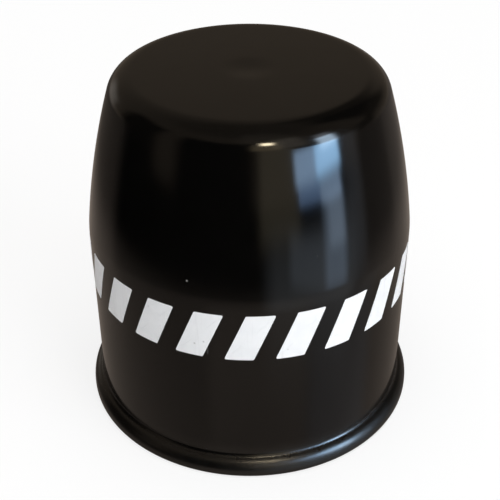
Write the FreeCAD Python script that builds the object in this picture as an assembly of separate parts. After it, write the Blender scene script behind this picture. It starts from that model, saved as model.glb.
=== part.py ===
"""Tow ball cap: one moulded plastic shell that pushes over the ball of a car's tow bar.

The cap stands on its open end with its axis on +Z and the foot of its rim at height 0. Every surface is
turned about the axis, so the model is one closed section (radius, height) revolved by a full turn.
All lengths are in millimetres and all angles in degrees.
"""

import FreeCAD
import Part
import math
import os

# What the cap fits: the ball is gripped by a short cylinder just below its widest circle.
BALL_DIAMETER = 50.0
GRIP_LENGTH = 12.0
ENTRY_DRAFT_ANGLE = 0.5

# The shell
HEIGHT = 60.4
WALL = 2.3

# The outer form above the skirt: a soft knee, a long bowed taper and a round shoulder.
KNEE_RADIUS = 24.0
KNEE_END_ANGLE = 6.9
TAPER_RADIUS = 130.0
TAPER_END_ANGLE = 16.8
SHOULDER_RADIUS = 4.3

# The shallow dimple that the moulding gate leaves in the middle of the crown
GATE_RADIUS = 5.0
GATE_DEPTH = 0.18

# The rim: a quarter-round bead round the mouth, with a small hollow where it leaves the skirt,
# a short upright land below the bead and a rounded foot
RIM_PROJECTION = 1.8
RIM_ROUND = 2.2
RIM_HOLLOW = 0.9
RIM_LAND = 0.35
FOOT_ROUND = 0.8
MOUTH_ROUND = 0.9

# Worked out from the sizes above
BORE_RADIUS = BALL_DIAMETER / 2
SKIRT_RADIUS = BORE_RADIUS + WALL
RIM_RADIUS = SKIRT_RADIUS + RIM_PROJECTION
BEAD_HEIGHT = FOOT_ROUND + RIM_LAND
SLOPES = (0.0, KNEE_END_ANGLE, TAPER_END_ANGLE, 90.0)
OUTER_RADII = (KNEE_RADIUS, TAPER_RADIUS, SHOULDER_RADIUS)


def rise(radius, slope_from, slope_to):
    """Height gained along an arc whose slope leans in from the axis direction by these angles."""
    return radius * (math.sin(math.radians(slope_to)) - math.sin(math.radians(slope_from)))


def lean(radius, slope_from, slope_to):
    """How far the same arc comes in towards the axis."""
    return radius * (math.cos(math.radians(slope_from)) - math.cos(math.radians(slope_to)))


def knee_height():
    """Height where the skirt ends, found down from the crown."""
    return HEIGHT - sum(rise(r, a, b) for r, a, b in zip(OUTER_RADII, SLOPES, SLOPES[1:]))


def point(radius, height):
    """A point of the section, which is drawn in the XZ plane."""
    return FreeCAD.Vector(radius, 0, height)


def line(start, end):
    return Part.LineSegment(start, end).toShape()


def arc_about(centre, radius, angle_from, angle_to):
    """Arc of the section about a centre, by angles measured from the outward direction."""

    def on_arc(angle):
        turn = math.radians(angle)
        return centre + point(radius * math.cos(turn), radius * math.sin(turn))

    middle = (angle_from + angle_to) / 2
    return Part.Arc(on_arc(angle_from), on_arc(middle), on_arc(angle_to)).toShape()


def upper_wall(start_radius, inset):
    """Knee, taper and shoulder from the skirt up to the crown, set in by inset from the outer skin."""
    edges = []
    radius = start_radius
    height = knee_height()
    for outer, slope_from, slope_to in zip(OUTER_RADII, SLOPES, SLOPES[1:]):
        bend = outer - inset
        start_turn = math.radians(slope_from)
        centre = point(radius - bend * math.cos(start_turn), height - bend * math.sin(start_turn))
        edges.append(arc_about(centre, bend, slope_from, slope_to))
        radius -= lean(bend, slope_from, slope_to)
        height += rise(bend, slope_from, slope_to)
    return edges, point(radius, height)


def crown_top(edge_point):
    """The flat crown with the gate's dimple, from its outer edge to the axis."""
    dimple_edge = point(GATE_RADIUS, HEIGHT)
    dimple_bottom = point(0, HEIGHT - GATE_DEPTH)
    sphere = (GATE_RADIUS**2 + GATE_DEPTH**2) / (2 * GATE_DEPTH)
    half_turn = math.asin(GATE_RADIUS / sphere) / 2
    dimple_middle = point(
        sphere * math.sin(half_turn),
        HEIGHT - GATE_DEPTH + sphere * (1 - math.cos(half_turn)),
    )
    dimple = Part.Arc(dimple_edge, dimple_middle, dimple_bottom).toShape()
    return [line(edge_point, dimple_edge), dimple], dimple_bottom


def rim():
    """Skirt, hollow, bead and foot, from the knee down to the inner edge of the foot."""
    bead_centre = point(RIM_RADIUS - RIM_ROUND, BEAD_HEIGHT)
    reach = SKIRT_RADIUS + RIM_HOLLOW - bead_centre.x
    drop = math.sqrt((RIM_HOLLOW + RIM_ROUND) ** 2 - reach**2)
    hollow_centre = bead_centre + point(reach, drop)
    touch = math.degrees(math.atan2(drop, reach))
    hollow_start = hollow_centre - point(RIM_HOLLOW, 0)
    foot_centre = point(RIM_RADIUS - FOOT_ROUND, FOOT_ROUND)
    foot_outer = point(foot_centre.x, 0)
    foot_inner = point(mouth_radius() + MOUTH_ROUND, 0)
    edges = [
        line(point(SKIRT_RADIUS, knee_height()), hollow_start),
        arc_about(hollow_centre, RIM_HOLLOW, 180, 180 + touch),
        arc_about(bead_centre, RIM_ROUND, touch, 0),
        line(point(RIM_RADIUS, BEAD_HEIGHT), point(RIM_RADIUS, FOOT_ROUND)),
        arc_about(foot_centre, FOOT_ROUND, 0, -90),
        line(foot_outer, foot_inner),
    ]
    return edges


def mouth_radius():
    """Radius of the drafted entry where it meets the round at the mouth."""
    entry_height = knee_height() - GRIP_LENGTH - MOUTH_ROUND
    return BORE_RADIUS + entry_height * math.tan(math.radians(ENTRY_DRAFT_ANGLE))


def bore():
    """Mouth round, drafted entry and the cylinder that grips the ball, from the foot up to the knee."""
    mouth_top = point(mouth_radius(), MOUTH_ROUND)
    grip_bottom = point(BORE_RADIUS, knee_height() - GRIP_LENGTH)
    grip_top = point(BORE_RADIUS, knee_height())
    return [
        arc_about(point(mouth_radius() + MOUTH_ROUND, MOUTH_ROUND), MOUTH_ROUND, 270, 180),
        line(mouth_top, grip_bottom),
        line(grip_bottom, grip_top),
    ]


def cap():
    """The whole shell as one solid of revolution."""
    outer_wall, crown_edge = upper_wall(SKIRT_RADIUS, 0.0)
    inner_wall, ceiling_edge = upper_wall(BORE_RADIUS, WALL)
    crown, crown_middle = crown_top(crown_edge)
    ceiling_middle = point(0, ceiling_edge.z)
    edges = outer_wall + crown + rim() + bore() + inner_wall
    edges += [line(ceiling_edge, ceiling_middle), line(ceiling_middle, crown_middle)]
    section = Part.Face(Part.Wire(Part.__sortEdges__(edges)))
    return section.revolve(FreeCAD.Vector(0, 0, 0), FreeCAD.Vector(0, 0, 1), 360)


def main():
    os.makedirs("parts", exist_ok=True)
    solid = cap()
    if not solid.isValid() or len(solid.Solids) != 1:
        raise RuntimeError("the cap's section did not close into one valid solid")
    solid.exportStep("parts/cap.step")
    print("knee height", round(knee_height(), 3))
    print("rim diameter", round(2 * RIM_RADIUS, 2), "height", round(solid.BoundBox.ZLength, 3))
    print("volume cm3", round(solid.Volume / 1000, 3))


main()
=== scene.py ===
"""Tow ball cap: the looks of a black moulded push-on cap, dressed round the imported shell.

All lengths below are in millimetres unless a name says otherwise, and MM turns them into the frame's metres.
The cap stands on its rim with its axis on +Z and its printed front towards -Y.
"""

import math

import bpy
from mathutils import Matrix, Vector


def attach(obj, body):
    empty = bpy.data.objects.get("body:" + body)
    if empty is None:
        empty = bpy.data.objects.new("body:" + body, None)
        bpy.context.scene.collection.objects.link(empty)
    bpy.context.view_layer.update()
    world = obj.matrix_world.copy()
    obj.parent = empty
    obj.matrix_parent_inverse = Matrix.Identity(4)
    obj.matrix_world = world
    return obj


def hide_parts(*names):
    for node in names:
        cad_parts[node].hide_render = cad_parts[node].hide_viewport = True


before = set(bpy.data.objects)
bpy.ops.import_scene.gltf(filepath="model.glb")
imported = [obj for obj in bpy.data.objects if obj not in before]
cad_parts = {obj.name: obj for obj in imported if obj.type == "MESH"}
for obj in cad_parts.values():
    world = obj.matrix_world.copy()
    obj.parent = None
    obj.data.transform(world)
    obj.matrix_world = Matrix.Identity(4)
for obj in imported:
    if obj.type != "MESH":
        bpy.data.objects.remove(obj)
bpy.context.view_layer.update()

MM = 0.001

# Sizes of the moulded shell, the same as in the part's source
BORE_RADIUS = 25.0
WALL = 2.3
HEIGHT = 60.4
SKIRT_RADIUS = BORE_RADIUS + WALL
WALL_BENDS = (24.0, 130.0, 4.3)
WALL_SLOPES = (0.0, 6.9, 16.8, 90.0)
GRIP_LENGTH = 12.0
ENTRY_DRAFT = 0.5
GATE_RADIUS = 5.0
GATE_DEPTH = 0.18
RIM_PROJECTION = 1.8
RIM_RADIUS = SKIRT_RADIUS + RIM_PROJECTION
RIM_ROUND = 2.2
RIM_HOLLOW = 0.9
RIM_LAND = 0.35
FOOT_ROUND = 0.8
MOUTH_ROUND = 0.9

# The stamped band of white bars round the front of the skirt
BAND_FOOT = 23.9
BAR_HEIGHT = 8.4
BAR_WIDTH = 4.6
BAR_PITCH = 8.0
BAR_SLANT = 3.4
BAR_CORNER = 0.2
BAR_COUNT = 13
INK_DEPTH = 0.03
INK_PROUD = 0.045
BAR_CORNER_STEPS = 4
BAR_CUTS = 3

# How finely the skin is divided: round the axis, along the outer and inner knee, taper and shoulder, and
# along flats
STEPS_ROUND = 192
OUTER_STEPS = (12, 20, 18)
INNER_STEPS = (10, 16, 12)
FLAT_STEPS = 12
SKIRT_STEPS = 24

# Points nearer than this become one
WELD = 0.001


def turn(angle):
    """Sine and cosine of an angle in degrees."""
    return math.sin(math.radians(angle)), math.cos(math.radians(angle))


def arc(centre, radius, start, end, steps):
    """Points of an arc of the section, by angles in degrees from the outward direction."""
    points = []
    for step in range(steps + 1):
        sine, cosine = turn(start + (end - start) * step / steps)
        points.append((centre[0] + radius * cosine, centre[1] + radius * sine))
    return points


def run(start, end, steps):
    """Points along a straight run of the section."""
    return [
        (start[0] + (end[0] - start[0]) * step / steps, start[1] + (end[1] - start[1]) * step / steps)
        for step in range(steps + 1)
    ]


def knee_height():
    """Height where the straight skirt ends, found down from the crown."""
    height = HEIGHT
    for bend, low, high in zip(WALL_BENDS, WALL_SLOPES, WALL_SLOPES[1:]):
        height -= bend * (turn(high)[0] - turn(low)[0])
    return height


def upper_wall(inset, steps):
    """Knee, taper and shoulder, from the skirt up to the crown, set in from the outer skin."""
    points = []
    radius = SKIRT_RADIUS - inset
    height = knee_height()
    for outer, low, high, count in zip(WALL_BENDS, WALL_SLOPES, WALL_SLOPES[1:], steps):
        bend = outer - inset
        sine, cosine = turn(low)
        points += arc((radius - bend * cosine, height - bend * sine), bend, low, high, count)
        radius, height = points[-1]
    return points


def gate_dimple(steps):
    """The shallow dimple in the middle of the crown, from the axis out to its soft edge."""
    points = []
    for step in range(steps):
        share = step / steps
        drop = GATE_DEPTH * (1 + math.cos(math.pi * share)) / 2
        points.append((GATE_RADIUS * share, HEIGHT - drop))
    return points


def rim_profile():
    """Hollow, bead, land and foot, from the skirt down to the mouth."""
    bead = (RIM_RADIUS - RIM_ROUND, FOOT_ROUND + RIM_LAND)
    reach = SKIRT_RADIUS + RIM_HOLLOW - bead[0]
    lift = math.sqrt((RIM_HOLLOW + RIM_ROUND) ** 2 - reach**2)
    touch = math.degrees(math.atan2(lift, reach))
    points = arc((bead[0] + reach, bead[1] + lift), RIM_HOLLOW, 180, 180 + touch, 10)
    points += arc(bead, RIM_ROUND, touch, 0, 14)
    points += arc((RIM_RADIUS - FOOT_ROUND, FOOT_ROUND), FOOT_ROUND, 0, -90, 8)
    return points


def mouth_profile():
    """Mouth round, drafted entry and grip, from the foot up to the inner knee."""
    entry = knee_height() - GRIP_LENGTH
    mouth = BORE_RADIUS + (entry - MOUTH_ROUND) * math.tan(math.radians(ENTRY_DRAFT))
    points = arc((mouth + MOUTH_ROUND, MOUTH_ROUND), MOUTH_ROUND, 270, 180, 8)
    points += run((mouth, MOUTH_ROUND), (BORE_RADIUS, entry), FLAT_STEPS)
    points += run((BORE_RADIUS, entry), (BORE_RADIUS, knee_height()), 8)
    return points


def cap_section():
    """The whole section from the middle of the crown, down outside, round the rim and up inside."""
    outer = upper_wall(0.0, OUTER_STEPS)
    inner = upper_wall(WALL, INNER_STEPS)
    rim = rim_profile()
    points = gate_dimple(FLAT_STEPS)
    points += run((GATE_RADIUS, HEIGHT), outer[-1], FLAT_STEPS)
    points += outer[::-1]
    points += run(outer[0], rim[0], SKIRT_STEPS)
    points += rim
    points += mouth_profile()
    points += inner
    points += run(inner[-1], (0.0, HEIGHT - WALL), FLAT_STEPS)
    kept = [points[0]]
    for spot in points[1:]:
        if math.dist(spot, kept[-1]) > WELD:
            kept.append(spot)
    return kept


# Geometry Nodes: one tree turns a section about the axis, the other wraps a row of bars round a cylinder.


def new_tree(name, sockets):
    """An empty geometry tree with named inputs, given as (name, socket type, default)."""
    tree = bpy.data.node_groups.new(name, "GeometryNodeTree")
    tree.is_modifier = True
    tree.interface.new_socket("Geometry", in_out="INPUT", socket_type="NodeSocketGeometry")
    tree.interface.new_socket("Geometry", in_out="OUTPUT", socket_type="NodeSocketGeometry")
    for label, kind, default in sockets:
        socket = tree.interface.new_socket(label, in_out="INPUT", socket_type=kind)
        if default is not None:
            socket.default_value = default
    return tree


def node(tree, kind, **settings):
    """A node with its properties set; links and values are given with wire()."""
    made = tree.nodes.new(kind)
    for key, value in settings.items():
        setattr(made, key, value)
    return made


def wire(tree, target, **sources):
    """Feed a node's inputs, named with _ for each space, from output sockets or plain values."""
    for label, source in sources.items():
        socket = target.inputs[label.replace("_", " ")]
        if isinstance(source, bpy.types.NodeSocket):
            tree.links.new(source, socket)
        else:
            socket.default_value = source
    return target


def two_value_math(tree, operation, first, second=0.0):
    """A Math node on sockets or numbers; returns its output."""
    made = node(tree, "ShaderNodeMath", operation=operation)
    for socket, source in zip(made.inputs, (first, second)):
        if isinstance(source, bpy.types.NodeSocket):
            tree.links.new(source, socket)
        else:
            socket.default_value = source
    return made.outputs[0]


def sum_of(tree, first, second):
    return two_value_math(tree, "ADD", first, second)


def product_of(tree, first, second):
    return two_value_math(tree, "MULTIPLY", first, second)


def turned_shell_tree():
    """Turns the section mesh, drawn in the XZ plane, about Z into a closed skin."""
    tree = new_tree(
        "turned_shell",
        (
            ("Steps Round", "NodeSocketInt", STEPS_ROUND),
            ("Path Radius", "NodeSocketFloat", 0.01),
            ("Seam Distance", "NodeSocketFloat", WELD * MM),
            ("Material", "NodeSocketMaterial", None),
        ),
    )
    given = node(tree, "NodeGroupInput").outputs
    section = wire(tree, node(tree, "GeometryNodeMeshToCurve"), Mesh=given["Geometry"])
    shift = wire(tree, node(tree, "ShaderNodeCombineXYZ"), X=product_of(tree, given["Path Radius"], -1.0))
    profile = wire(
        tree,
        node(tree, "GeometryNodeTransform"),
        Geometry=section.outputs["Curve"],
        Translation=shift.outputs["Vector"],
        Rotation=(math.pi / 2, 0, 0),
    )
    circle = wire(
        tree,
        node(tree, "GeometryNodeCurvePrimitiveCircle"),
        Resolution=given["Steps Round"],
        Radius=given["Path Radius"],
    )
    upright = wire(tree, node(tree, "GeometryNodeSetCurveNormal", mode="Z_UP"), Curve=circle.outputs["Curve"])
    skin = wire(
        tree,
        node(tree, "GeometryNodeCurveToMesh"),
        Curve=upright.outputs["Curve"],
        Profile_Curve=profile.outputs["Geometry"],
    )
    closed = wire(
        tree,
        node(tree, "GeometryNodeMergeByDistance"),
        Geometry=skin.outputs["Mesh"],
        Distance=given["Seam Distance"],
    )
    smooth = wire(tree, node(tree, "GeometryNodeSetShadeSmooth"), Geometry=closed.outputs["Geometry"])
    finish_tree(tree, smooth.outputs["Geometry"], given["Material"])
    return tree


def finish_tree(tree, geometry, material):
    """End a tree in Realize Instances and Set Material."""
    plain = wire(tree, node(tree, "GeometryNodeRealizeInstances"), Geometry=geometry)
    coloured = wire(
        tree,
        node(tree, "GeometryNodeSetMaterial"),
        Geometry=plain.outputs["Geometry"],
        Material=material,
    )
    wire(tree, node(tree, "NodeGroupOutput"), Geometry=coloured.outputs["Geometry"])


def printed_band_tree():
    """Lays a row of slanted round-cornered bars flat and wraps it round the skirt, centred on -Y."""
    tree = new_tree(
        "printed_band",
        (
            ("Bars", "NodeSocketInt", BAR_COUNT),
            ("Bar Width", "NodeSocketFloat", BAR_WIDTH * MM),
            ("Bar Height", "NodeSocketFloat", BAR_HEIGHT * MM),
            ("Bar Slant", "NodeSocketFloat", BAR_SLANT * MM),
            ("Corner Radius", "NodeSocketFloat", BAR_CORNER * MM),
            ("Pitch", "NodeSocketFloat", BAR_PITCH * MM),
            ("Band Foot", "NodeSocketFloat", BAND_FOOT * MM),
            ("Skirt Radius", "NodeSocketFloat", SKIRT_RADIUS * MM),
            ("Ink Depth", "NodeSocketFloat", INK_DEPTH * MM),
            ("Ink Proud", "NodeSocketFloat", INK_PROUD * MM),
            ("Material", "NodeSocketMaterial", None),
        ),
    )
    given = node(tree, "NodeGroupInput").outputs
    outline = wire(
        tree,
        node(tree, "GeometryNodeCurvePrimitiveQuadrilateral", mode="PARALLELOGRAM"),
        Width=given["Bar Width"],
        Height=given["Bar Height"],
        Offset=given["Bar Slant"],
    )
    rounded = wire(
        tree,
        node(tree, "GeometryNodeFilletCurve", mode="POLY"),
        Curve=outline.outputs["Curve"],
        Count=BAR_CORNER_STEPS,
        Radius=given["Corner Radius"],
    )
    face = wire(tree, node(tree, "GeometryNodeFillCurve", mode="NGONS"), Curve=rounded.outputs["Curve"])
    fine = wire(tree, node(tree, "GeometryNodeSubdivideMesh"), Mesh=face.outputs["Mesh"], Level=BAR_CUTS)
    thickness = sum_of(tree, given["Ink Depth"], given["Ink Proud"])
    film = wire(
        tree,
        node(tree, "GeometryNodeExtrudeMesh", mode="FACES"),
        Mesh=fine.outputs["Mesh"],
        Offset=(0.0, 0.0, 1.0),
        Offset_Scale=thickness,
        Individual=False,
    )
    under = wire(tree, node(tree, "GeometryNodeFlipFaces"), Mesh=fine.outputs["Mesh"])
    both = node(tree, "GeometryNodeJoinGeometry")
    tree.links.new(film.outputs["Mesh"], both.inputs["Geometry"])
    tree.links.new(under.outputs["Mesh"], both.inputs["Geometry"])
    bar = wire(
        tree,
        node(tree, "GeometryNodeMergeByDistance"),
        Geometry=both.outputs["Geometry"],
        Distance=WELD * MM,
    )

    spare = sum_of(tree, given["Bars"], -1.0)
    half_row = product_of(tree, product_of(tree, spare, given["Pitch"]), -0.5)
    row_start = wire(
        tree,
        node(tree, "ShaderNodeCombineXYZ"),
        X=half_row,
        Y=product_of(tree, given["Bar Height"], 0.5),
        Z=product_of(tree, given["Ink Depth"], -1.0),
    )
    row_step = wire(tree, node(tree, "ShaderNodeCombineXYZ"), X=given["Pitch"])
    row = wire(
        tree,
        node(tree, "GeometryNodeMeshLine", mode="OFFSET", count_mode="TOTAL"),
        Count=given["Bars"],
        Start_Location=row_start.outputs["Vector"],
        Offset=row_step.outputs["Vector"],
    )
    bars = wire(
        tree,
        node(tree, "GeometryNodeInstanceOnPoints"),
        Points=row.outputs["Mesh"],
        Instance=bar.outputs["Geometry"],
    )
    flat = wire(tree, node(tree, "GeometryNodeRealizeInstances"), Geometry=bars.outputs["Instances"])

    place = node(tree, "GeometryNodeInputPosition")
    parts = wire(tree, node(tree, "ShaderNodeSeparateXYZ"), Vector=place.outputs["Position"])
    angle = two_value_math(tree, "DIVIDE", parts.outputs["X"], given["Skirt Radius"])
    reach = sum_of(tree, given["Skirt Radius"], parts.outputs["Z"])
    back = product_of(tree, reach, -1.0)
    wrapped = wire(
        tree,
        node(tree, "ShaderNodeCombineXYZ"),
        X=product_of(tree, reach, two_value_math(tree, "SINE", angle)),
        Y=product_of(tree, back, two_value_math(tree, "COSINE", angle)),
        Z=sum_of(tree, parts.outputs["Y"], given["Band Foot"]),
    )
    placed = wire(
        tree,
        node(tree, "GeometryNodeSetPosition"),
        Geometry=flat.outputs["Geometry"],
        Position=wrapped.outputs["Vector"],
    )
    finish_tree(tree, placed.outputs["Geometry"], given["Material"])
    return tree


def grown_piece(name, base_mesh, tree, values):
    """Run a tree on a base mesh with values for its named inputs, and keep the result as a plain mesh."""
    piece = bpy.data.objects.new(name, base_mesh)
    bpy.context.scene.collection.objects.link(piece)
    modifier = piece.modifiers.new(tree.name, "NODES")
    modifier.node_group = tree
    for item in tree.interface.items_tree:
        if item.in_out == "INPUT" and item.name in values:
            modifier[item.identifier] = values[item.name]
    graph = bpy.context.evaluated_depsgraph_get()
    mesh = bpy.data.meshes.new_from_object(piece.evaluated_get(graph))
    piece.modifiers.remove(modifier)
    piece.data = mesh
    mesh.name = name
    return piece


# Materials: draw marks and dust lie on the plastic and on the ink alike, so they are shader groups.

# Draw marks end at this height, and fade out over this length below it
SIDE_TOP = 57.5
SIDE_FADE = 3.0

# Black plastic: the two tones of its mottle, its nicks and dust, and its least and most handled gloss
PLASTIC_DARK = (0.0010, 0.0009, 0.0008)
PLASTIC_PALE = (0.0022, 0.0020, 0.0018)
NICK_TONE = (0.10, 0.10, 0.10)
DUST_TONE = (0.42, 0.41, 0.39)
PLASTIC_GLOSS = (0.075, 0.12)

# The scuffed rim: roughness added at its foot, its sheen beside that of the rest, and the heights over
# which both fade out
SCUFF = 0.26
SCUFF_HEIGHTS = (2.0, 6.0)
RIM_SHEEN = 0.82
PLAIN_SHEEN = 0.5
SHEEN_HEIGHTS = (3.0, 6.0)

# White ink: the two tones of its film, where it is rubbed and pitted, and its roughness
INK_DIM = (0.78, 0.79, 0.81)
INK_BRIGHT = (0.86, 0.865, 0.88)
RUBBED_TONE = (0.60, 0.60, 0.61)
PIT_TONE = (0.25, 0.25, 0.25)
INK_SATIN = (0.34, 0.46)


def new_shader_group(name, inputs, outputs):
    """An empty shader group with inputs and outputs given as (name, socket type, default)."""
    tree = bpy.data.node_groups.new(name, "ShaderNodeTree")
    for in_out, sockets in (("INPUT", inputs), ("OUTPUT", outputs)):
        for label, kind, default in sockets:
            socket = tree.interface.new_socket(label, in_out=in_out, socket_type=kind)
            if default is not None:
                socket.default_value = default
    return tree, node(tree, "NodeGroupInput").outputs


def noise(tree, vector, scale, detail=2.0, roughness=0.5):
    """A noise texture's value, about 0.5 on average."""
    made = node(tree, "ShaderNodeTexNoise", noise_dimensions="3D")
    wire(tree, made, Vector=vector, Scale=scale, Detail=detail, Roughness=roughness)
    return made.outputs["Fac"]


def ranged(tree, value, low, high, from_low=0.0, from_high=1.0):
    """Map a mask to a range of values."""
    made = node(tree, "ShaderNodeMapRange", clamp=True)
    wire(tree, made, Value=value, From_Min=from_low, From_Max=from_high, To_Min=low, To_Max=high)
    return made.outputs["Result"]


def draw_marks_group():
    """Fine lines and nicks along the way the mould is drawn off, up the sides of a turned piece."""
    tree, given = new_shader_group(
        "draw_marks",
        (
            ("Vector", "NodeSocketVector", None),
            ("Stretch", "NodeSocketFloat", 0.05),
            ("Line Scale", "NodeSocketFloat", 900.0),
            ("Nick Scale", "NodeSocketFloat", 190.0),
            ("Nick Size", "NodeSocketFloat", 0.045),
            ("Nick Stretch", "NodeSocketFloat", 0.22),
            ("Nick Cut", "NodeSocketFloat", 0.6),
            ("Top", "NodeSocketFloat", SIDE_TOP * MM),
        ),
        (
            ("Lines", "NodeSocketFloat", None),
            ("Nicks", "NodeSocketFloat", None),
        ),
    )
    parts = wire(tree, node(tree, "ShaderNodeSeparateXYZ"), Vector=given["Vector"])
    level = wire(tree, node(tree, "ShaderNodeCombineXYZ"), X=parts.outputs["X"], Y=parts.outputs["Y"])
    outward = node(tree, "ShaderNodeVectorMath", operation="NORMALIZE")
    tree.links.new(level.outputs["Vector"], outward.inputs[0])
    round_axis = node(tree, "ShaderNodeVectorMath", operation="SCALE")
    tree.links.new(outward.outputs["Vector"], round_axis.inputs[0])
    round_axis.inputs["Scale"].default_value = SKIRT_RADIUS * MM
    spread = wire(tree, node(tree, "ShaderNodeSeparateXYZ"), Vector=round_axis.outputs["Vector"])
    drawn = wire(
        tree,
        node(tree, "ShaderNodeCombineXYZ"),
        X=spread.outputs["X"],
        Y=spread.outputs["Y"],
        Z=product_of(tree, parts.outputs["Z"], given["Stretch"]),
    )
    below_top = two_value_math(tree, "SUBTRACT", given["Top"], parts.outputs["Z"])
    on_sides = ranged(tree, below_top, 0.0, 1.0, 0.0, SIDE_FADE * MM)
    lines = noise(tree, drawn.outputs["Vector"], given["Line Scale"], 3.0, 0.7)
    flat_lines = sum_of(tree, product_of(tree, sum_of(tree, lines, -0.5), on_sides), 0.5)
    short = wire(
        tree,
        node(tree, "ShaderNodeCombineXYZ"),
        X=spread.outputs["X"],
        Y=spread.outputs["Y"],
        Z=product_of(tree, parts.outputs["Z"], given["Nick Stretch"]),
    )
    cells = wire(
        tree,
        node(tree, "ShaderNodeTexVoronoi", voronoi_dimensions="3D", feature="F1"),
        Vector=short.outputs["Vector"],
        Scale=given["Nick Scale"],
    )
    pick = wire(tree, node(tree, "ShaderNodeSeparateXYZ"), Vector=cells.outputs["Color"])
    chosen = two_value_math(tree, "GREATER_THAN", pick.outputs["X"], given["Nick Cut"])
    depth = ranged(tree, cells.outputs["Distance"], 1.0, 0.0, 0.0, given["Nick Size"])
    nicks = product_of(tree, product_of(tree, depth, chosen), on_sides)
    wire(tree, node(tree, "NodeGroupOutput"), Lines=flat_lines, Nicks=nicks)
    return tree


def dust_group():
    """Dust specks as a mask, and patches where hands have dulled the gloss."""
    tree, given = new_shader_group(
        "dust_and_handling",
        (
            ("Vector", "NodeSocketVector", None),
            ("Speck Scale", "NodeSocketFloat", 210.0),
            ("Speck Size", "NodeSocketFloat", 0.045),
            ("Speck Share", "NodeSocketFloat", 0.1),
            ("Patch Scale", "NodeSocketFloat", 55.0),
        ),
        (
            ("Specks", "NodeSocketFloat", None),
            ("Handling", "NodeSocketFloat", None),
        ),
    )
    cells = wire(
        tree,
        node(tree, "ShaderNodeTexVoronoi", voronoi_dimensions="3D", feature="F1"),
        Vector=given["Vector"],
        Scale=given["Speck Scale"],
    )
    pick = wire(tree, node(tree, "ShaderNodeSeparateXYZ"), Vector=cells.outputs["Color"])
    chosen = two_value_math(tree, "LESS_THAN", pick.outputs["X"], given["Speck Share"])
    near = ranged(tree, cells.outputs["Distance"], 1.0, 0.0, 0.0, given["Speck Size"])
    specks = product_of(tree, near, chosen)
    handling = noise(tree, given["Vector"], given["Patch Scale"])
    wire(tree, node(tree, "NodeGroupOutput"), Specks=specks, Handling=handling)
    return tree


def new_material(name):
    """A material with its node tree and its Principled shader."""
    material = bpy.data.materials.new(name)
    material.use_nodes = True
    tree = material.node_tree
    shader = tree.nodes["Principled BSDF"]
    return material, tree, shader


def mixed_colour(tree, share, low, high):
    """Mix two colours by a mask; each may be a colour or a socket."""
    mix = node(tree, "ShaderNodeMix", data_type="RGBA")
    tree.links.new(share, mix.inputs["Factor"])
    for socket, source in ((mix.inputs[6], low), (mix.inputs[7], high)):
        if isinstance(source, bpy.types.NodeSocket):
            tree.links.new(source, socket)
        else:
            socket.default_value = (*source, 1.0)
    return mix.outputs[2]


def bumped(tree, height, depth_mm, strength, normal=None):
    """A bump of this depth; returns the bent normal."""
    made = wire(tree, node(tree, "ShaderNodeBump"), Strength=strength, Distance=depth_mm * MM, Height=height)
    if normal is not None:
        tree.links.new(normal, made.inputs["Normal"])
    return made.outputs["Normal"]


def black_plastic(draw_marks, dust):
    """Moulded black plastic: gloss with faint waves and draw lines, a little dust, and a scuffed rim."""
    material, tree, shader = new_material("moulded_black_plastic")
    place = node(tree, "ShaderNodeTexCoord").outputs["Object"]
    drawn = wire(tree, node(tree, "ShaderNodeGroup", node_tree=draw_marks), Vector=place)
    dusty = wire(tree, node(tree, "ShaderNodeGroup", node_tree=dust), Vector=place)
    mottle = noise(tree, place, 320.0, 4.0, 0.6)
    black = mixed_colour(tree, mottle, PLASTIC_DARK, PLASTIC_PALE)
    nicked = mixed_colour(tree, drawn.outputs["Nicks"], black, NICK_TONE)
    specked = mixed_colour(tree, dusty.outputs["Specks"], nicked, DUST_TONE)
    gloss = ranged(tree, dusty.outputs["Handling"], *PLASTIC_GLOSS, 0.3, 0.7)
    marked = sum_of(tree, gloss, product_of(tree, drawn.outputs["Nicks"], 0.3))
    dulled = sum_of(tree, marked, product_of(tree, dusty.outputs["Specks"], 0.5))
    height = wire(tree, node(tree, "ShaderNodeSeparateXYZ"), Vector=place).outputs["Z"]
    foot, top = SCUFF_HEIGHTS
    scuffed = ranged(tree, height, SCUFF, 0.0, foot * MM, top * MM)
    rough = sum_of(tree, dulled, product_of(tree, scuffed, ranged(tree, mottle, 0.85, 1.15, 0.35, 0.65)))
    waves = bumped(tree, noise(tree, place, 85.0, 1.0, 0.4), 0.05, 0.6)
    lined = bumped(tree, drawn.outputs["Lines"], 0.006, 0.5, waves)
    peel = bumped(tree, noise(tree, place, 1100.0), 0.004, 0.3, lined)
    foot, top = SHEEN_HEIGHTS
    sheen = ranged(tree, height, RIM_SHEEN, PLAIN_SHEEN, foot * MM, top * MM)
    wire(tree, shader, Base_Color=specked, Roughness=rough, Normal=peel, IOR=1.5, Specular_IOR_Level=sheen)
    return material


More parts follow.
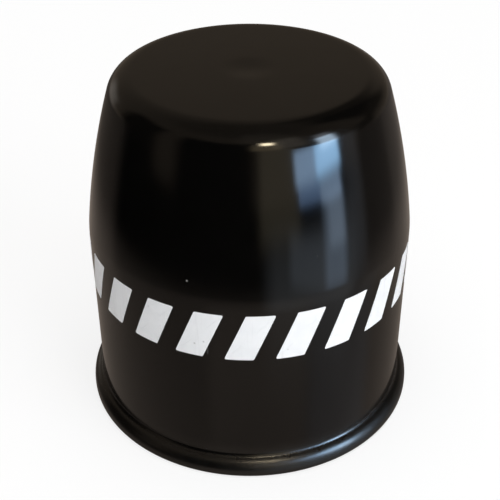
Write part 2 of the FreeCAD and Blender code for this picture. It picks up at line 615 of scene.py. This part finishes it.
def white_ink(draw_marks, dust):
    """Stamped white ink: an even satin film with a little rub along the draw and a few pits."""
    material, tree, shader = new_material("stamped_white_ink")
    place = node(tree, "ShaderNodeTexCoord").outputs["Object"]
    drawn = wire(tree, node(tree, "ShaderNodeGroup", node_tree=draw_marks), Vector=place)
    pits = wire(
        tree,
        node(tree, "ShaderNodeGroup", node_tree=dust),
        Vector=place,
        Speck_Scale=700.0,
        Speck_Size=0.16,
        Speck_Share=0.12,
    )
    cloud = noise(tree, place, 500.0, 3.0, 0.6)
    film = mixed_colour(tree, cloud, INK_DIM, INK_BRIGHT)
    rub = ranged(tree, drawn.outputs["Lines"], 0.0, 0.5, 0.58, 0.8)
    rubbed = mixed_colour(tree, rub, film, RUBBED_TONE)
    pitted = mixed_colour(tree, product_of(tree, pits.outputs["Specks"], 0.7), rubbed, PIT_TONE)
    satin = ranged(tree, pits.outputs["Handling"], *INK_SATIN, 0.3, 0.7)
    grain = bumped(tree, cloud, 0.01, 0.4)
    wire(tree, shader, Base_Color=pitted, Roughness=satin, Normal=grain, IOR=1.48)
    return material


# The object


def dress_cap():
    """The turned shell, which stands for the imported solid, and the print stamped on it."""
    draw_marks = draw_marks_group()
    dust = dust_group()
    section = cap_section()
    base = bpy.data.meshes.new("cap_section")
    base.from_pydata(
        [(radius * MM, 0.0, height * MM) for radius, height in section],
        [(step, step + 1) for step in range(len(section) - 1)],
        [],
    )
    shell = grown_piece("cap_shell", base, turned_shell_tree(), {"Material": black_plastic(draw_marks, dust)})
    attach(shell, "root")
    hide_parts("cap")
    band = grown_piece(
        "printed_bars",
        bpy.data.meshes.new("printed_bars"),
        printed_band_tree(),
        {"Material": white_ink(draw_marks, dust)},
    )
    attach(band, "root")


# The studio: a pale floor and soft light, and the dim room that the gloss reflects

# Soft glows of the room, seen only in the gloss: azimuths from the front towards the right, elevations,
# softness of the edges (all in degrees), colour and strength
ROOM_GLOWS = (
    ("walls", (-400, 400), (-5, 200), 6, (1.0, 0.80, 0.60), 0.155),
    ("table", (-400, 400), (-200, -24), 10, (1.0, 0.83, 0.70), 0.20),
    ("table front", (-30, 40), (-44, -30), 14, (1.0, 0.85, 0.72), 0.11),
    ("table on the left", (-400, -105), (-34, -2), 16, (1.0, 0.83, 0.70), 0.10),
    ("table on the right", (80, 400), (-34, -2), 12, (1.0, 0.85, 0.74), 0.10),
    ("table in window light", (44, 96), (-60, -28), 16, (0.50, 0.72, 1.0), 0.08),
    ("beside the window", (70, 84), (-24, 8), 10, (0.85, 0.90, 1.0), 0.3),
    ("table by the window", (12, 74), (-36, -12), 14, (0.86, 0.93, 1.0), 0.36),
    ("window top", (53, 68), (3, 27), 5, (0.60, 0.79, 1.0), 11.0),
    ("window fading upwards", (55, 68), (22, 37), 10, (0.80, 0.88, 1.0), 2.0),
    ("window reveal", (20, 44), (14, 48), 12, (1.0, 0.90, 0.78), 0.45),
    ("glow behind on the left", (-148, -128), (-4, 14), 12, (1.0, 0.94, 0.88), 0.3),
    ("table far on the right", (118, 400), (-26, -4), 12, (1.0, 0.85, 0.74), 0.07),
    ("ceiling in front", (-10, 44), (42, 74), 20, (1.0, 0.88, 0.72), 0.09),
    ("warm wall", (7, 34), (-12, 12), 8, (1.0, 0.88, 0.62), 0.38),
    ("warm glow", (2, 24), (12, 30), 8, (1.0, 0.80, 0.50), 0.8),
)

# Dark things in the room, which hold back the glow of its walls: azimuths, elevations, softness, share
ROOM_SHADES = (
    ((-54, 3), (-18, 37), 14, 1.0),
    ((-112, -73), (-18, 38), 14, 0.92),
    ((102, 140), (11, 62), 16, 0.75),
    ((104, 166), (30, 62), 16, 0.75),
    ((88, 110), (-10, 16), 10, 0.7),
    ((-400, 400), (58, 200), 24, 0.35),
)

# Soft patches of two small clear panels close to the cap, for its window streak and its spark: across and
# up from the panel's middle, softness of the edges (all in millimetres), colour and strength
WINDOW_PATCHES = (
    ((-18, 26), (3, 25), 8, (0.36, 0.65, 1.0), 15.0),
    ((26, 66), (2, 25), 10, (0.45, 0.68, 1.0), 7.0),
    ((-14, 22), (-11, 2), 7, (0.48, 0.69, 1.0), 4.6),
    ((22, 62), (-9, 2), 7, (0.34, 0.57, 1.0), 3.2),
    ((-15, 20), (-60, -9), 14, (0.56, 0.74, 1.0), 1.5),
    ((-15, 12), (-36, -9), 10, (0.58, 0.76, 1.0), 1.4),
    ((16, 84), (-60, -26), 18, (0.70, 0.83, 1.0), 0.42),
)
LAMP_PATCHES = (((-8, 8), (-8, 8), 9, (1.0, 0.84, 0.58), 32.0),)
NEAR_PANELS = (
    ("window_panel", (112, -78, 44), (0, -10, 40), WINDOW_PATCHES, (-40, 110, -70, 56)),
    ("lamp_panel", (24, -104, 117), (4, -20, 58), LAMP_PATCHES, (-17, 17, -13, 13)),
)
PANEL_STEPS = 48

# The ball that carries the room's glows: its middle and radius in metres, and how finely it is divided
ROOM_MIDDLE = Vector((0.0, 0.0, 0.045))
ROOM_RADIUS = 1.5
ROOM_ROWS = 120
ROOM_TURN_STEP = 2

# The floor: radius, tone, and how white it shines by itself from near the cap to far off
FLOOR_RADIUS = 800.0
FLOOR_TONE = (0.88, 0.88, 0.88, 1.0)
FLOOR_SHINE = (0.76, 1.0)
FLOOR_SHINE_REACH = (50.0, 350.0)

# Light that is not in the gloss: the even fill, and soft lamps as place and side (in metres), watts, colour
FILL = 0.10
LAMP_AIM = (0.0, 0.0, 0.03)
SOFT_LAMPS = (
    ("overhead_softbox", (0.0, -0.1, 1.1), 1.3, 14.8, (1.0, 0.985, 0.97)),
    ("window_softbox", (0.70, -0.62, 0.38), 0.7, 7.4, (0.93, 0.97, 1.0)),
)

# The camera: how steeply it looks down, its small turns, the height on the axis that it circles, its
# distance from there, and its lens
CAMERA_ELEVATION = 32.82
CAMERA_ROLL = 0.186
CAMERA_PITCH = 0.785
CAMERA_YAW = 0.025
CAMERA_PIVOT = 28.95
CAMERA_DISTANCE = 171.19
CAMERA_LENS = 70.66
SENSOR_WIDTH = 36.0


def smooth_step(value):
    """Ease from 0 to 1, held at both ends."""
    value = min(max(value, 0.0), 1.0)
    return value * value * (3 - 2 * value)


def within(value, limits, soft):
    """1 inside the limits and 0 outside, with soft edges centred on them."""
    rising = smooth_step((value - limits[0]) / soft + 0.5)
    falling = smooth_step((limits[1] - value) / soft + 0.5)
    return rising * falling


def room_glow(azimuth, elevation):
    """Colour of the room in a direction."""
    held_back = 1.0
    for azimuths, elevations, soft, share in ROOM_SHADES:
        held_back *= 1 - share * within(azimuth, azimuths, soft) * within(elevation, elevations, soft)
    total = Vector((0.0, 0.0, 0.0))
    for name, azimuths, elevations, soft, colour, strength in ROOM_GLOWS:
        amount = strength * within(azimuth, azimuths, soft) * within(elevation, elevations, soft)
        if name == "walls":
            amount *= held_back
        total += Vector(colour) * amount
    return total


def staged(name, mesh, material, only_in_gloss):
    """Put a stage piece in the scene, seen by every ray or only in the gloss."""
    mesh.materials.append(material)
    made = bpy.data.objects.new(name, mesh)
    bpy.context.scene.collection.objects.link(made)
    if only_in_gloss:
        made.visible_camera = False
        made.visible_diffuse = False
        made.visible_transmission = False
        made.visible_volume_scatter = False
        made.visible_shadow = False
    return made


def seen_directly(tree):
    """1 for rays from the camera or from gloss and glass, 0 for the rest."""
    ray = node(tree, "ShaderNodeLightPath").outputs
    shiny = two_value_math(tree, "MAXIMUM", ray["Is Glossy Ray"], ray["Is Transmission Ray"])
    return two_value_math(tree, "MAXIMUM", ray["Is Camera Ray"], shiny)


def set_floor():
    """A pale round floor that keeps the cap's soft shadow and runs out into the white surroundings."""
    material, tree, shader = new_material("pale_floor")
    wire(tree, shader, Base_Color=FLOOR_TONE, Roughness=0.9)
    shader.inputs["Specular IOR Level"].default_value = 0.0
    white = wire(tree, node(tree, "ShaderNodeEmission"), Color=(1.0, 1.0, 1.0, 1.0), Strength=1.0)
    place = wire(
        tree,
        node(tree, "ShaderNodeVectorMath", operation="LENGTH"),
        Vector=node(tree, "ShaderNodeTexCoord").outputs["Object"],
    )
    near, far = FLOOR_SHINE_REACH
    outer = ranged(tree, place.outputs["Value"], *FLOOR_SHINE, near * MM, far * MM)
    blend = node(tree, "ShaderNodeMixShader")
    tree.links.new(product_of(tree, outer, seen_directly(tree)), blend.inputs[0])
    tree.links.new(shader.outputs["BSDF"], blend.inputs[1])
    tree.links.new(white.outputs["Emission"], blend.inputs[2])
    tree.links.new(blend.outputs["Shader"], tree.nodes["Material Output"].inputs["Surface"])
    mesh = bpy.data.meshes.new("floor")
    reach = FLOOR_RADIUS * MM
    spots = [(reach * turn(angle)[1], reach * turn(angle)[0], 0.0) for angle in range(0, 360, 5)]
    mesh.from_pydata(spots, [], [list(range(len(spots)))])
    floor = staged("floor", mesh, material, False)
    floor.visible_glossy = False


def glow_material(name, clear):
    """Shines with the mesh's own tones; a clear one adds them to what lies behind."""
    material = bpy.data.materials.new(name)
    material.use_nodes = True
    tree = material.node_tree
    tree.nodes.clear()
    tone = node(tree, "ShaderNodeAttribute", attribute_name="glow")
    shine = wire(tree, node(tree, "ShaderNodeEmission"), Color=tone.outputs["Color"], Strength=1.0)
    surface = shine.outputs["Emission"]
    if clear:
        both = node(tree, "ShaderNodeAddShader")
        tree.links.new(surface, both.inputs[0])
        tree.links.new(node(tree, "ShaderNodeBsdfTransparent").outputs["BSDF"], both.inputs[1])
        surface = both.outputs["Shader"]
    wire(tree, node(tree, "ShaderNodeOutputMaterial"), Surface=surface)
    return material


def glow_mesh(name, rows, closed):
    """A grid mesh from rows of (place, colour), closed round or open."""
    mesh = bpy.data.meshes.new(name)
    columns = len(rows[0])
    last = columns if closed else columns - 1
    faces = []
    for row in range(len(rows) - 1):
        first = row * columns
        for step in range(last):
            after = (step + 1) % columns
            faces.append((first + step, first + after, first + columns + after, first + columns + step))
    cells = [cell for row in rows for cell in row]
    mesh.from_pydata([place for place, colour in cells], [], faces)
    attribute = mesh.color_attributes.new("glow", "FLOAT_COLOR", "POINT")
    attribute.data.foreach_set("color", [value for place, colour in cells for value in (*colour, 1.0)])
    return mesh


def set_room():
    """A ball round the cap that only its gloss sees, with the soft tones of a room."""
    rows = []
    for level_step in range(ROOM_ROWS + 1):
        elevation = -90 + 180 * level_step / ROOM_ROWS
        rise, level = turn(elevation)
        row = []
        for azimuth in range(-180, 180, ROOM_TURN_STEP):
            side, front = turn(azimuth)
            place = ROOM_MIDDLE + Vector((side * level, -front * level, rise)) * ROOM_RADIUS
            row.append((place, room_glow(azimuth, elevation)))
        rows.append(row)
    staged("room", glow_mesh("room", rows, True), glow_material("room_tones", False), True)


def set_near_panels():
    """Clear panels that only the gloss sees, with the soft patches of a window and a lamp."""
    tones = glow_material("panel_tones", True)
    for name, place, aim, patches, edges in NEAR_PANELS:
        facing = (Vector(aim) - Vector(place)).to_track_quat("Z", "Y")
        left, right, bottom, top = edges
        rows = []
        for up in range(PANEL_STEPS + 1):
            row = []
            for over in range(PANEL_STEPS + 1):
                across = left + (right - left) * over / PANEL_STEPS
                height = bottom + (top - bottom) * up / PANEL_STEPS
                tone = Vector((0.0, 0.0, 0.0))
                for sides, levels, soft, colour, strength in patches:
                    amount = strength * within(across, sides, soft) * within(height, levels, soft)
                    tone += Vector(colour) * amount
                spot = Vector(place) + facing @ Vector((across, height, 0.0))
                row.append((spot * MM, tone))
            rows.append(row)
        staged(name, glow_mesh(name, rows, False), tones, True)


def soft_lamp(name, place, side, watts, colour):
    """A square lamp aimed at the cap, which the camera and the gloss do not see."""
    lamp = bpy.data.lights.new(name, "AREA")
    lamp.shape = "RECTANGLE"
    lamp.size = side
    lamp.size_y = side
    lamp.energy = watts
    lamp.color = colour
    made = bpy.data.objects.new(name, lamp)
    bpy.context.scene.collection.objects.link(made)
    facing = (Vector(LAMP_AIM) - Vector(place)).to_track_quat("-Z", "Y")
    made.matrix_world = Matrix.Translation(Vector(place)) @ facing.to_matrix().to_4x4()
    made.visible_camera = False
    made.visible_glossy = False


def set_lights():
    """White surroundings for the camera, a dim even fill, and two large soft lamps."""
    world = bpy.data.worlds.new("surroundings")
    bpy.context.scene.world = world
    world.use_nodes = True
    tree = world.node_tree
    background = tree.nodes["Background"]
    background.inputs["Color"].default_value = (1.0, 1.0, 1.0, 1.0)
    strength = ranged(tree, seen_directly(tree), FILL, 1.0)
    tree.links.new(strength, background.inputs["Strength"])
    for settings in SOFT_LAMPS:
        soft_lamp(*settings)


def set_camera():
    """The camera in front of the cap, a little above it."""
    camera = bpy.data.objects.new("camera", bpy.data.cameras.new("camera"))
    bpy.context.scene.collection.objects.link(camera)
    rise, level = turn(CAMERA_ELEVATION)
    back = Vector((0.0, -level, rise))
    right = Vector((1.0, 0.0, 0.0))
    axes = Matrix((right, back.cross(right), back))
    roll = Matrix.Rotation(math.radians(CAMERA_ROLL), 3, "Z")
    pitch = Matrix.Rotation(math.radians(CAMERA_PITCH), 3, "X")
    yaw = Matrix.Rotation(math.radians(CAMERA_YAW), 3, "Y")
    turned = roll @ pitch @ yaw @ axes
    eye = Vector((0.0, 0.0, CAMERA_PIVOT * MM)) + back * CAMERA_DISTANCE * MM
    camera.matrix_world = Matrix.Translation(eye) @ turned.transposed().to_4x4()
    camera.data.sensor_fit = "HORIZONTAL"
    camera.data.sensor_width = SENSOR_WIDTH
    camera.data.lens = CAMERA_LENS
    camera.data.clip_start = 0.005
    camera.data.clip_end = 50.0
    bpy.context.scene.camera = camera


bpy.context.scene.view_settings.view_transform = "Standard"
set_camera()
dress_cap()
set_floor()
set_room()
set_near_panels()
set_lights()
